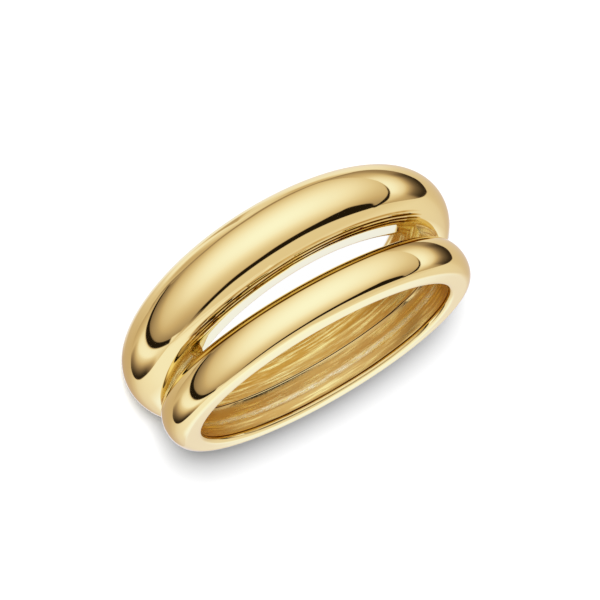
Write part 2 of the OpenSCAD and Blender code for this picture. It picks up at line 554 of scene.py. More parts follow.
def casting_skin(sizes):
    """The whole casting as one closed skin, with the slot left open at the front."""
    skin = Skin()
    right, left = sizes.slot_end_right, 2 * math.pi - sizes.slot_end_left

    web_turn = np.linspace(right, left, WEB_SECTIONS + 1)
    web = Heights(sizes, web_turn)
    far_edge = land_edge(web, web.far_cut - sizes.slot_round)
    near_edge = land_edge(web, web.near_bottom + sizes.slot_round)
    near_rows, far_rows = near_run(web, near_edge), far_run(web, far_edge)
    floor_rows = groove_floor(web, near_rows[:, -1], far_rows[:, 0])
    land_rows = wall(web, far_edge, near_edge, FLOOR_STEPS)
    near, far = skin.add(web_turn, near_rows), skin.add(web_turn, far_rows)
    floor = bridged(near, skin.add(web_turn, floor_rows[:, 1:-1]), far)
    land = bridged(far, skin.add(web_turn, land_rows[:, 1:-1]), near)
    for numbers in (near, floor, far, land):
        skin.cover(numbers)

    slot_turn = np.linspace(left, right + 2 * math.pi, SLOT_SECTIONS + 1)
    slot = Heights(sizes, slot_turn)
    near_walls, far_walls = near_slot_wall(slot), far_slot_wall(slot)
    ends = []
    for row, web_row in ((0, -1), (-1, 0)):
        ends.append(end_patch(
            skin, slot_turn[row], floor_rows[web_row], land_rows[web_row][::-1],
            near_walls[row], far_walls[row], floor[web_row], land[web_row][::-1],
        ))
    turn = slot_turn[1:-1]
    near_inner = skin.add(turn, near_run(slot, slot.near_bottom + sizes.slot_round)[1:-1])
    far_inner = skin.add(turn, far_run(slot, slot.far_cut - sizes.slot_round)[1:-1])
    near_wall = bridged(near_inner, skin.add(turn, near_walls[1:-1, 1:-1]), near_inner)
    far_back = far_inner[:, ::-1]
    far_wall = bridged(far_back, skin.add(turn, far_walls[1:-1, 1:-1]), far_back)
    skin.cover(np.vstack([near[-1], near_inner, near[0]]))
    skin.cover(np.vstack([far[-1], far_inner, far[0]]))
    skin.cover(np.vstack([ends[0][0], near_wall, ends[1][0]]))
    skin.cover(np.vstack([ends[0][1], far_wall, ends[1][1]])[:, ::-1])
    return skin


def rest_matrix(sizes):
    """Turns places measured from the finger hole's axis into places on the floor."""
    lean = math.atan(sizes.far_taper / (2 * sizes.bore_radius))
    lift = Matrix.Translation((0, 0, sizes.front_width - sizes.far_taper / 2))
    return Matrix.Rotation(-lean, 4, "X") @ lift


def flow_places(sizes, placed):
    """Coordinates that run round the ring with both rims, which the casting's streaks follow."""
    h = Heights(sizes, np.arctan2(placed[:, 0], -placed[:, 1]))
    low = h.far_plane(sizes.bore_radius)
    share = (placed[:, 2] - low) / (h.near_top - low)
    across = share * sizes.front_width + np.hypot(placed[:, 0], placed[:, 1]) - sizes.bore_radius
    return np.stack([placed[:, 0], placed[:, 1], across], axis=1)


def mesh_of(name, skin, sizes):
    """Blender mesh of a skin, resting on the floor, with its cast mask and its flow."""
    placed = np.concatenate(skin.points)
    mesh = bpy.data.meshes.new(name)
    mesh.from_pydata(placed[:, :3].tolist(), [], np.concatenate(skin.faces).tolist())
    cast = mesh.attributes.new(CAST_MASK, "FLOAT", "POINT")
    cast.data.foreach_set("value", placed[:, 3])
    flow = mesh.attributes.new(FLOW, "FLOAT_VECTOR", "POINT")
    flow.data.foreach_set("vector", flow_places(sizes, placed).ravel())
    mesh.transform(rest_matrix(sizes))
    work = bmesh.new()
    work.from_mesh(mesh)
    bmesh.ops.recalc_face_normals(work, faces=work.faces)
    work.to_mesh(mesh)
    work.free()
    mesh.shade_smooth()
    mesh.set_sharp_from_angle(angle=SHARP_ANGLE)
    mesh.update()
    return mesh


def piece(name, mesh):
    """A new object in the scene."""
    thing = bpy.data.objects.new(name, mesh)
    bpy.context.scene.collection.objects.link(thing)
    return thing


class Nodes:
    """Short hand for building a node tree."""

    def __init__(self, tree):
        self.tree = tree
        self.tree.nodes.clear()

    def add(self, kind, inputs=(), **settings):
        """Adds a node, sets its settings and then its inputs, which are values or other sockets."""
        node = self.tree.nodes.new(kind)
        for key, value in settings.items():
            setattr(node, key, value)
        for key, value in dict(inputs).items():
            if isinstance(value, bpy.types.NodeSocket):
                self.tree.links.new(value, node.inputs[key])
            else:
                node.inputs[key].default_value = value
        return node

    def math(self, operation, *values):
        """Result of a math node on up to three numbers or sockets."""
        return self.add("ShaderNodeMath", dict(enumerate(values)), operation=operation).outputs[0]

    def length(self, vector):
        """Length of a vector."""
        return self.add("ShaderNodeVectorMath", {0: vector}, operation="LENGTH").outputs["Value"]

    def remap(self, value, start, end, low=0.0, high=1.0, kind="LINEAR"):
        """Value that runs from a low to a high one while another runs from a start to an end."""
        places = {0: value, 1: start, 2: end, 3: low, 4: high}
        return self.add("ShaderNodeMapRange", places, interpolation_type=kind).outputs[0]

    def past(self, value, edge, softness):
        """Soft step from 0 to 1 where a value passes an edge."""
        over = self.math("SUBTRACT", value, edge)
        return self.remap(over, -softness / 2, softness / 2, kind="SMOOTHSTEP")

    def curve(self, value, points):
        """Smooth curve through a few points [input, output]."""
        start, end = points[0][0], points[-1][0]
        low, high = min(y for _, y in points), max(y for _, y in points)
        node = self.add("ShaderNodeFloatCurve", {1: self.remap(value, start, end)})
        spots = node.mapping.curves[0].points
        spots[0].location = (0, (points[0][1] - low) / (high - low))
        spots[1].location = (1, (points[-1][1] - low) / (high - low))
        for x, y in points[1:-1]:
            spots.new((x - start) / (end - start), (y - low) / (high - low))
        for spot in spots:
            spot.handle_type = "AUTO_CLAMPED"
        node.mapping.update()
        return self.remap(node.outputs[0], 0, 1, low, high)

    def within(self, value, low, high, softness):
        """Soft step from 0 to 1 past a low edge and back to 0 past a high one."""
        return self.product(self.past(value, low, softness[0]), self.past(high, value, softness[1]))

    def off(self, value, place):
        """How far a value is from a place, to either side."""
        return self.math("ABSOLUTE", self.math("SUBTRACT", value, place))

    def blend(self, share, first, second):
        """Number between two numbers."""
        return self.add("ShaderNodeMix", {0: share, 2: first, 3: second}).outputs[0]

    def product(self, *values):
        """Product of numbers."""
        result = values[0]
        for value in values[1:]:
            result = self.math("MULTIPLY", result, value)
        return result

    def mix(self, share, first, second):
        """Colour between two colours, which are properties or other sockets."""
        places = {0: share}
        for place, value in ((6, first), (7, second)):
            places[place] = value if isinstance(value, bpy.types.NodeSocket) else (*value, 1)
        return self.add("ShaderNodeMix", places, data_type="RGBA").outputs[2]


NOISE = {"Scale": 1.0, "Detail": 3.0, "Roughness": 0.6}


def streaks(nodes, flow, count, seed):
    """Noise drawn out round the ring, by how many streaks there are to a metre of its flow."""
    place = nodes.add("ShaderNodeVectorMath", {0: flow, 1: count}, operation="MULTIPLY")
    settings = {"Vector": place.outputs[0], "W": seed, **NOISE}
    return nodes.add("ShaderNodeTexNoise", settings, noise_dimensions="4D").outputs[0]


def relief_tree():
    """Geometry Nodes tree that raises the cast relief where the casting was left unpolished."""
    tree = bpy.data.node_groups.new("cast_relief", "GeometryNodeTree")
    kinds = {"Casting": "Geometry", "Gold": "Material"}
    for name in ("Casting", "Depth", "Streaks Along", "Streaks Across", "Seed", "Gold"):
        kind = "NodeSocket" + kinds.get(name, "Float")
        tree.interface.new_socket(name, in_out="INPUT", socket_type=kind)
    tree.interface.new_socket("Casting", in_out="OUTPUT", socket_type="NodeSocketGeometry")
    nodes = Nodes(tree)
    given = nodes.add("NodeGroupInput").outputs
    cast, flow = (
        nodes.add("GeometryNodeInputNamedAttribute", {"Name": name}, data_type=kind).outputs[0]
        for name, kind in ((CAST_MASK, "FLOAT"), (FLOW, "FLOAT_VECTOR"))
    )
    count = nodes.add("ShaderNodeCombineXYZ", {
        0: given["Streaks Along"], 1: given["Streaks Along"], 2: given["Streaks Across"],
    }).outputs[0]
    noise = nodes.math("SUBTRACT", streaks(nodes, flow, count, given["Seed"]), 0.5)
    height = nodes.product(noise, given["Depth"], nodes.math("SQRT", cast))
    normal = nodes.add("GeometryNodeInputNormal").outputs[0]
    offset = nodes.add("ShaderNodeVectorMath", {0: normal, "Scale": height}, operation="SCALE").outputs[0]
    steps = (
        ("GeometryNodeSetPosition", {"Offset": offset}), ("GeometryNodeRealizeInstances", {}),
        ("GeometryNodeSetMaterial", {"Material": given["Gold"]}),
    )
    shape = given["Casting"]
    for kind, inputs in steps:
        shape = nodes.add(kind, {"Geometry": shape, **inputs}).outputs[0]
    nodes.add("NodeGroupOutput", {0: shape})
    return tree


def with_relief(thing, tree, values):
    """A plain mesh of a thing after a Geometry Nodes tree with its inputs set by name."""
    modifier = thing.modifiers.new("relief", "NODES")
    modifier.node_group = tree
    for item in tree.interface.items_tree:
        if item.in_out == "INPUT" and item.name in values:
            modifier[item.identifier] = values[item.name]
    graph = bpy.context.evaluated_depsgraph_get()
    mesh = bpy.data.meshes.new_from_object(thing.evaluated_get(graph), depsgraph=graph)
    thing.modifiers.remove(modifier)
    mesh.name = thing.name
    return mesh


class RING_OT_casting(Operator):
    """Builds the polished casting over the frame's solid"""

    bl_idname = "ring.casting"
    bl_label = "Build Casting"

    def execute(self, context):
        sizes, finish = context.scene.ring_sizes, context.scene.ring_finish
        casting = piece(SKIN, mesh_of(SKIN, casting_skin(sizes), sizes))
        values = {
            "Depth": finish.relief_depth, "Streaks Along": finish.streaks_along,
            "Streaks Across": finish.streaks_across, "Seed": float(finish.seed),
            "Gold": gold_material(finish),
        }
        casting.data = with_relief(casting, relief_tree(), values)
        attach(casting, "root")
        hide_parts(CASTING_NODE)
        return {"FINISHED"}


# The groove starts at a radius. The painted highlight on its floor lies at a place across the ring from
# the far rim, follows the far band's foot between two places towards +X, and ends behind the middle.
GROOVE_START = 8.95 * MM
GROOVE_FADE = 0.2 * MM
GROOVE_MIDDLE = 5.87 * MM
GROOVE_TURNING = (-1 * MM, 5 * MM)
GLEAM_REACH = (0.11 * MM, 0.02 * MM)
GLEAM_END = (3 * MM, 0)
# The clean cut inside the slot, painted paler for its whiter grazing reflection, by its radius, its place
# across the flow and its place ahead
CUT_RADIUS = (9.8 * MM, 9.75 * MM)
CUT_MIDDLE = 4.6 * MM
CUT_REACH = (2.2 * MM, 2 * MM)
CUT_AHEAD = (-4 * MM, -4.5 * MM)
# Streaks to a metre, and the values of their noise between which they show
FINE_STREAKS = (1.5, 1.8)
SPECKS = (1300, 1300, 9000)
GRAIN = (9000, 9000, 14000)
BROAD_SHOWN = (0.45, 0.72)
GLEAM_SHOWN = (0.4, 0.6)
GLINT_SHOWN = (0.4, 0.52)
# Where the painted lines of shade break up, and over which of their values their edge and their dark
# heart are laid
SHADE_BROKEN = (0.35, 0.55, 0.6, 1.0)
SHADE_EDGE = (0.05, 0.3)
SHADE_HEART = (0.2, 0.55)
# How much lighter the rough gold is along the painted highlight line and in the groove, and how strongly
# it varies
HIGHLIGHT_LIGHT = 0.6
GROOVE_LIGHT = 0.6
FINE_CONTRAST = 5.0
LIGHT_SMOOTHNESS = 0.2
GRAIN_SHARE = 0.35
HIGHLIGHT_BUMPS = 3.0


class GoldMaps:
    """Places and streaks on the casting, as sockets, from the attributes that its mesh carries."""

    def __init__(self, nodes, finish):
        self.cast = nodes.add("ShaderNodeAttribute", attribute_name=CAST_MASK).outputs["Fac"]
        flow = nodes.add("ShaderNodeAttribute", attribute_name=FLOW).outputs["Vector"]
        self.side, self.ahead, self.across = nodes.add("ShaderNodeSeparateXYZ", {0: flow}).outputs
        level = nodes.add("ShaderNodeVectorMath", {0: flow, 1: (1, 1, 0)}, operation="MULTIPLY")
        self.radius = nodes.length(level.outputs[0])
        broad = (finish.streaks_along, finish.streaks_along, finish.streaks_across)
        along, across = FINE_STREAKS[0] * finish.streaks_along, FINE_STREAKS[1] * finish.streaks_across
        self.broad = streaks(nodes, flow, broad, float(finish.seed))
        self.fine = streaks(nodes, flow, (along, along, across), float(finish.seed + 1))
        self.specks = streaks(nodes, flow, SPECKS, float(finish.seed + 2))
        self.grain = streaks(nodes, flow, GRAIN, float(finish.seed + 3))


def groove_gleam(nodes, maps, groove):
    """Share of the painted highlight along the middle of the groove's floor."""
    middle = nodes.remap(maps.side, *GROOVE_TURNING, GROOVE_MIDDLE, GROOVE_MIDDLE + FOOT_SHIFT / 2)
    near_middle = nodes.remap(nodes.off(maps.across, middle), *GLEAM_REACH)
    shown = nodes.remap(maps.fine, *GLEAM_SHOWN, kind="SMOOTHSTEP")
    return nodes.product(groove, near_middle, nodes.remap(maps.ahead, *GLEAM_END), shown)


def clean_cut(nodes, maps):
    """Share of the clean cut inside the slot, where paler gold is painted for its whiter reflection."""
    near_middle = nodes.remap(nodes.off(maps.across, CUT_MIDDLE), *CUT_REACH)
    near_hole = nodes.remap(maps.radius, *CUT_RADIUS)
    return nodes.product(near_hole, near_middle, nodes.remap(maps.ahead, *CUT_AHEAD))


def gold_material(finish):
    """Polished gold with painted lines of dark shade, and where the casting was left unpolished, streaked
    brown gold with a painted highlight line and painted glints.
    """
    material = bpy.data.materials.new("polished_and_cast_gold")
    material.use_nodes = True
    nodes = Nodes(material.node_tree)
    maps = GoldMaps(nodes, finish)
    # Painted highlight: a lighter band with glints along the near channel, where its hollow catches the
    # light
    off_highlight = nodes.off(maps.across, finish.highlight_line)
    highlight_band = nodes.remap(off_highlight, finish.highlight_width, 0, kind="SMOOTHSTEP")
    groove = nodes.remap(maps.radius, GROOVE_START, GROOVE_START + GROOVE_FADE)
    # Painted glints: near-white gold specks along the highlight line and the groove's floor
    glint = nodes.product(highlight_band, nodes.remap(maps.specks, *GLINT_SHOWN, kind="SMOOTHSTEP"))
    glint = nodes.math("MAXIMUM", glint, groove_gleam(nodes, maps, groove))

    light = nodes.remap(maps.broad, *BROAD_SHOWN, kind="SMOOTHSTEP")
    light = nodes.math("MULTIPLY_ADD", highlight_band, HIGHLIGHT_LIGHT, light)
    light = nodes.math("MULTIPLY_ADD", groove, GROOVE_LIGHT, light)
    light = nodes.math("MULTIPLY_ADD", nodes.math("SUBTRACT", maps.fine, 0.5), FINE_CONTRAST, light)
    light = nodes.remap(light, 0, 1)
    rough_gold = nodes.mix(light, finish.cast_gold, finish.streak_and_highlight_gold)
    rough_gold = nodes.mix(glint, rough_gold, finish.glint_gold)

    # Painted shade: the dark lines take cast gold at their edge, in colour and in tint, and near-black
    # gold at their heart
    shade_line = nodes.product(nodes.remap(maps.cast, 0, SHADE_LINE), nodes.remap(maps.broad, *SHADE_BROKEN))
    shade_edge = nodes.remap(shade_line, *SHADE_EDGE)
    smooth_gold = nodes.mix(clean_cut(nodes, maps), finish.gold, finish.cut_reflection_gold)
    smooth_gold = nodes.mix(shade_edge, smooth_gold, finish.cast_gold)
    smooth_gold = nodes.mix(nodes.remap(shade_line, *SHADE_HEART), smooth_gold, finish.painted_shade_gold)

    cast = nodes.remap(maps.cast, 0, 1)
    brightest = nodes.math("MAXIMUM", light, glint)
    dull = nodes.math("MULTIPLY_ADD", brightest, -LIGHT_SMOOTHNESS, finish.cast_roughness)
    height = nodes.math("MULTIPLY_ADD", maps.grain, GRAIN_SHARE, maps.fine)
    height = nodes.math("MULTIPLY_ADD", nodes.product(highlight_band, maps.specks), HIGHLIGHT_BUMPS, height)
    grain = {"Height": height, "Distance": finish.grain_depth, "Strength": cast}
    shader = nodes.add("ShaderNodeBsdfPrincipled", {
        "Base Color": nodes.mix(cast, smooth_gold, rough_gold),
        "Metallic": 1.0,
        "Roughness": nodes.blend(cast, finish.polish_roughness, dull),
        "Normal": nodes.add("ShaderNodeBump", grain).outputs[0],
        "Specular Tint": nodes.mix(shade_edge, finish.edge_gold, finish.cast_gold),
    })
    nodes.add("ShaderNodeOutputMaterial", {"Surface": shader.outputs[0]})
    return material


class RingFinish(PropertyGroup):
    """Colours and textures of the gold."""

    gold: color_property("Gold", "Colour of the polished gold", (0.97, 0.82, 0.36))
    edge_gold: color_property("Edge Gold", "Colour of the gold at a grazing angle", (0.93, 0.885, 0.8))
    cast_gold: color_property("Cast Gold", "Colour of the gold left as cast", (0.7, 0.4, 0.062))
    # Paler gold painted on the clean cut, standing in for its whiter grazing reflection
    cut_reflection_gold: color_property("Cut Gold", "Colour of the clean cut inside the slot", (0.9, 0.79, 0.45))
    # Near-black gold painted in as the lines of dark shade along the ridge, the lips and the slot's
    # flanks
    painted_shade_gold: color_property("Seam Gold", "Colour of the dark seams", (0.06, 0.02, 0.002))
    # Lighter gold for the random streaks and the groove, also laid along the painted highlight line
    streak_and_highlight_gold: color_property("Streak Gold", "Colour of the lighter streaks", (1.0, 0.85, 0.29))
    # Near-white gold painted in as glints along the highlight line and the groove's floor
    glint_gold: color_property("Glint Gold", "Colour of the worn specks that glint", (1.0, 0.94, 0.58))
    polish_roughness: number_property("Polish Roughness", "Roughness of the polished gold", 0.04)
    cast_roughness: number_property("Cast Roughness", "Roughness of the gold left as cast", 0.42)
    relief_depth: length_property("Relief Depth", "Height of the relief that the casting leaves", 0.045)
    grain_depth: length_property("Grain Depth", "Height of the fine grain in the cast gold", 0.03)
    streaks_along: number_property("Streaks Along", "How many streaks to a metre round the ring", 260)
    streaks_across: number_property("Streaks Across", "How many streaks to a metre across the ring", 2800)
    # Place and reach of the painted highlight line along the near channel
    highlight_line: length_property("Worn Line", "Where the near channel is worn, from the far rim", 6.5)
    highlight_width: length_property("Worn Width", "How far the worn line reaches to each side", 0.36)
    seed: IntProperty(name="Seed", description="Which random pattern the streaks take", default=4)


class RingStudio(PropertyGroup):
    """Camera of the studio, seen from the finger hole's own axis, and its lights."""

    camera_azimuth: angle_property("Camera Azimuth", "Turn of the camera from the ring's front", -13.565)
    camera_elevation: angle_property("Camera Elevation", "Height over the near rim's plane", 18.339)
    camera_roll: angle_property("Camera Roll", "Turn of the picture, clockwise", 147.86)
    camera_distance: length_property("Camera Distance", "Distance from the near rim's front", 350)
    key_azimuth: angle_property("Key Azimuth", "Turn of the light that throws the shadow", -10)
    key_elevation: angle_property("Key Elevation", "Height of the light that throws the shadow", 19.3)
    key_softness: angle_property("Key Softness", "Angle across which that light spreads", 11)
    key_strength: number_property("Key Strength", "How bright that light makes the floor", 1.0)
    fill_strength: number_property("Fill Strength", "How bright the room makes the floor", 0.2)


PICTURE_SIDE = 600
HOLE_PIXEL = (335.1, 376.4)
PIXELS_PER_MM = 16.551
SENSOR = 36.0
CLIP = (0.01, 100)


def add_camera(studio, sizes):
    """The camera at the photograph's angle, aimed so that the finger hole lands on its pixel."""
    a, e, roll = studio.camera_azimuth, studio.camera_elevation, studio.camera_roll
    back = Vector((-math.cos(e) * math.sin(a), -math.cos(e) * math.cos(a), math.sin(e)))
    across = Vector((math.cos(a), -math.sin(a), 0))
    up = back.cross(across)
    right = math.cos(roll) * across + math.sin(roll) * up
    above = back.cross(right)
    reach = PIXELS_PER_MM / MM * studio.camera_distance
    side = PICTURE_SIDE / 2 - HOLE_PIXEL[0], HOLE_PIXEL[1] - PICTURE_SIDE / 2
    ahead = (-back * reach + right * side[0] + above * side[1]).normalized()
    right = (right - ahead * right.dot(ahead)).normalized()
    above = right.cross(ahead)
    aim = Matrix((right, above, -ahead)).transposed().to_4x4()
    data = bpy.data.cameras.new("photo_camera")
    data.sensor_width = SENSOR
    data.lens = reach / PICTURE_SIDE * SENSOR
    data.clip_start, data.clip_end = CLIP
    camera = piece("photo_camera", data)
    camera.matrix_world = rest_matrix(sizes) @ Matrix.Translation(back * studio.camera_distance) @ aim
    bpy.context.scene.camera = camera


# The soft light and the black cards round it, as the polished gold reflects them. Each line gives
# [degrees of height, degrees of turn from the front] or, for a top or a foot, the other way round.
LIGHT_LEFT = ((-50, 88), (-40, 93), (-20, 100), (0, 104), (20, 109), (36, 112))
CARD_LEFT = ((-50, 93), (-40, 99), (-20, 106.5), (0, 111.5), (20, 116), (36, 119))
LIGHT_RIGHT = ((-40, -77), (-20, -79), (0, -81.5), (15, -83.5), (30, -84), (38, -82))
CARD_RIGHT = ((-24, -79), (-10, -81), (0, -83), (15, -86), (30, -88.5), (38, -88))
LIGHT_TOP = ((-82, 34), (-70, 29), (-60, 29), (-50, 33), (-30, 43), (0, 51), (30, 55), (60, 55),
             (90, 52), (105, 48), (115, 42), (122, 35))
CARD_TOP = ((-88, 36), (-80, 42), (-60, 50), (-30, 58), (0, 64), (30, 65.5), (60, 63.5), (90, 59),
            (105, 54), (115, 47), (122, 38))
LIGHT_FOOT = ((-115, -44), (-100, -53), (-80, -61), (-60, -65), (-30, -69), (0, -69), (30, -66),
              (60, -58), (80, -52), (95, -48), (110, -42))
CARD_FOOT = ((-107, -40), (-103, -48), (-90, -56), (-80, -62), (-68, -68), (-45, -72.5), (-20, -73.5),
             (0, -72), (30, -69), (58, -61.5), (82, -55), (98, -52), (107, -44))
CARD_FOOT_WIDTH = 6
CARD_FOOT_REACH = (112, 106)
CARD_FOOT_GLOW = 0.3
CARD_GLOW = 0.006
# Heights or turns at which the cards' ends are, the two last ones fading in over a stretch
LEFT_CARD_ENDS = (-51, 37)
RIGHT_CARD_TOP = 39
RIGHT_CARD_FOOT = (-26, 2)
TOP_CARD_RIGHT = -86
TOP_CARD_LEFT = (124, 92)
# Degrees over which the lights and the cards fade, at a low and at a high edge
LEFT_FADE = (1, 1.2)
RIGHT_FADE = (1.2, 1)
LIGHT_TURN_FADE = (1, 2)
LIGHT_HEIGHT_FADE = (3, 2.5)
LEFT_CARD_FADE = (3, 1.5)
LEFT_CARD_END_FADE = (4, 2)
RIGHT_CARD_FADE = (1, 1)
TOP_CARD_FADE = (3, 2)
TOP_CARD_END_FADE = 3
CARD_EDGE_FADE = 2
# How bright the light is across and up, the way across leaning over with height
LIGHT_ACROSS = ((-95, 0.42), (-80, 0.53), (-65, 0.69), (-50, 0.84), (-35, 0.92), (-20, 0.975), (0, 1),
                (25, 0.975), (40, 0.935), (55, 0.85), (70, 0.7), (85, 0.55), (95, 0.34), (104, 0.2))
LIGHT_UP = ((-75, 0.4), (-60, 0.62), (-50, 0.74), (-40, 0.84), (-20, 0.97), (-6, 1), (10, 0.95),
            (20, 0.85), (30, 0.72), (40, 0.6), (55, 0.48))
LIGHT_LEAN = 0.4
LEAN_HEIGHT = -6
LIGHT_PEAK = 1.29
# The side lights beyond the cards, from the card to their far edges
LEFT_END = ((-58, 80), (-47, 98), (-40, 114), (-30, 130), (-20, 138), (-14, 144), (-7, 146), (0, 145),
            (10, 141.5), (20, 137), (30, 129.5), (38, 121))
LEFT_GLOW = ((0, 0.8), (0.1, 1.15), (0.25, 1.17), (0.43, 0.85), (0.55, 0.56), (0.68, 0.27), (0.8, 0.1),
             (0.92, 0.02), (1, 0.01))
LEFT_DARK = ((-24, 0), (-14, 0.9), (-4, 1), (10, 1), (17, 0.85), (27, 0))
SIDE_SHADE = (1.05, 0.8)
LEFT_PALE = ((-45, 0.5), (-28, 0.66), (-10, 0.95), (20, 1.0), (35, 0.95))
RIGHT_END = ((-62, -72), (-54, -96), (-47, -109), (-35, -113), (-26, -117), (-18, -120), (-8, -120),
             (0, -118), (10, -114), (20, -107), (30, -96), (40, -82))
RIGHT_GLOW = ((0, 1.2), (0.1, 1.19), (0.2, 1.13), (0.3, 1.02), (0.4, 0.88), (0.5, 0.585), (0.6, 0.31),
              (0.7, 0.15), (0.8, 0.077), (0.9, 0.033), (1, 0.018))
RIGHT_DARK = ((-56, 0), (-45, 0.3), (-33, 0.6), (-22, 1), (6, 1), (14, 0.6), (24, 0.25), (34, 0.2))
RIGHT_PALE = ((-55, 0.42), (-40, 0.55), (-20, 0.9), (0, 1.02), (20, 0.8), (36, 0.6))
# The pale room round them all, ahead, to the left, to the right and behind
ROOM_AHEAD = ((-90, 1.0), (-80, 0.85), (-74, 0.7), (-66, 0.55), (-55, 0.7), (50, 0.8), (90, 0.8))
ROOM_LEFT = ((-90, 0.95), (-70, 1.12), (-60, 0.9), (-50, 0.72), (-38, 0.62), (-25, 0.58), (-12, 0.72),
             (0, 0.95), (15, 1.06), (35, 1.13), (60, 1.08), (90, 0.85))
ROOM_RIGHT = ((-90, 0.8), (-72, 0.95), (-58, 1.12), (-48, 1.1), (-35, 0.9), (-22, 0.78), (-10, 0.74),
              (0, 0.78), (9, 0.88), (30, 0.93), (90, 0.84))
ROOM_BEHIND = ((-90, 0.6), (-76, 0.45), (-68, 0.75), (-58, 1.2), (-30, 1.1), (-10, 1.0), (4, 1.08),
               (12, 1.3), (40, 1.33), (90, 1.0))
# Turns over which the room ahead runs into its sides, and they into the back, which starts on the
# left only so far from a middle height
LEFT_ROOM = (104, 128)
RIGHT_ROOM = (-96, -116)
BACK_LEFT = (160, 175)
BACK_RIGHT = (-150, -164)
BACK_MIDDLE = -13
BACK_OFF_MIDDLE = (18, 24)
# Colours of the light from dim to bright, warm where it is dim and cool where it is bright. The ramp
# that holds them has to be dimmed, as its colours can't be over 1.
GLOW_RANGE = 1.4
RAMP_DIMMED = 2
GLOW_COLORS = (
    (0.0, (0.008, 0.005, 0.003)), (0.26, (0.305, 0.222, 0.186)), (0.56, (0.61, 0.482, 0.406)),
    (0.8, (0.773, 0.688, 0.686)), (1.05, (0.916, 0.903, 1.084)), (1.31, (1.005, 1.127, 1.609)),
)


def room_glow(nodes, turn, height):
    """How bright the room is round the lights."""
    glow = nodes.curve(height, ROOM_AHEAD)
    glow = nodes.blend(nodes.remap(turn, *LEFT_ROOM), glow, nodes.curve(height, ROOM_LEFT))
    glow = nodes.blend(nodes.remap(turn, *RIGHT_ROOM), glow, nodes.curve(height, ROOM_RIGHT))
    off_middle = nodes.remap(nodes.off(height, BACK_MIDDLE), *BACK_OFF_MIDDLE)
    back_left = nodes.product(nodes.remap(turn, *BACK_LEFT), off_middle)
    back = nodes.math("MAXIMUM", back_left, nodes.remap(turn, *BACK_RIGHT))
    return nodes.blend(back, glow, nodes.curve(height, ROOM_BEHIND))


def side_glow(nodes, share, height, glow, dark, pale):
    """How bright a side light is, from its card to its far edge, which is dark over some heights."""
    plain = nodes.curve(height, pale)
    deep = nodes.product(nodes.curve(share, glow), plain)
    shade = nodes.product(plain, nodes.remap(share, 0, 1, *SIDE_SHADE))
    return nodes.blend(nodes.curve(height, dark), shade, deep)


def studio_glow(nodes, turn, height):
    """How bright the studio is at a turn from the front and a height, both in degrees."""
    light_left, card_left = nodes.curve(height, LIGHT_LEFT), nodes.curve(height, CARD_LEFT)
    light_right, card_right = nodes.curve(height, LIGHT_RIGHT), nodes.curve(height, CARD_RIGHT)
    light_top, card_top = nodes.curve(turn, LIGHT_TOP), nodes.curve(turn, CARD_TOP)
    light_foot, card_foot = nodes.curve(turn, LIGHT_FOOT), nodes.curve(turn, CARD_FOOT)
    left_end, right_end = nodes.curve(height, LEFT_END), nodes.curve(height, RIGHT_END)

    left_share = nodes.remap(turn, card_left, left_end)
    right_share = nodes.remap(turn, light_right, right_end)
    left = side_glow(nodes, left_share, height, LEFT_GLOW, LEFT_DARK, LEFT_PALE)
    right = side_glow(nodes, right_share, height, RIGHT_GLOW, RIGHT_DARK, RIGHT_PALE)
    glow = room_glow(nodes, turn, height)
    glow = nodes.blend(nodes.within(turn, light_left, left_end, LEFT_FADE), glow, left)
    glow = nodes.blend(nodes.within(turn, right_end, light_right, RIGHT_FADE), glow, right)

    lean = nodes.math("MULTIPLY_ADD", nodes.math("SUBTRACT", height, LEAN_HEIGHT), -LIGHT_LEAN, turn)
    main = nodes.product(nodes.curve(lean, LIGHT_ACROSS), nodes.curve(height, LIGHT_UP), LIGHT_PEAK)
    in_turn = nodes.within(turn, light_right, light_left, LIGHT_TURN_FADE)
    in_height = nodes.within(height, light_foot, light_top, LIGHT_HEIGHT_FADE)
    glow = nodes.blend(nodes.product(in_turn, in_height), glow, main)

    left_card = nodes.product(
        nodes.within(turn, light_left, card_left, LEFT_CARD_FADE),
        nodes.within(height, *LEFT_CARD_ENDS, LEFT_CARD_END_FADE),
    )
    right_card = nodes.product(
        nodes.within(turn, card_right, light_right, RIGHT_CARD_FADE),
        nodes.remap(height, *RIGHT_CARD_FOOT),
        nodes.past(RIGHT_CARD_TOP, height, CARD_EDGE_FADE),
    )
    top_card = nodes.product(
        nodes.within(height, light_top, card_top, TOP_CARD_FADE),
        nodes.past(turn, TOP_CARD_RIGHT, TOP_CARD_END_FADE),
        nodes.remap(turn, *TOP_CARD_LEFT),
    )
    foot_card = nodes.product(
        nodes.past(CARD_FOOT_WIDTH / 2, nodes.off(height, card_foot), CARD_EDGE_FADE),
        nodes.remap(nodes.off(turn, 0), *CARD_FOOT_REACH),
    )
    glow = nodes.blend(foot_card, glow, CARD_FOOT_GLOW)
    dark = nodes.math("MAXIMUM", nodes.math("MAXIMUM", left_card, right_card), top_card)
    return nodes.blend(dark, glow, CARD_GLOW)


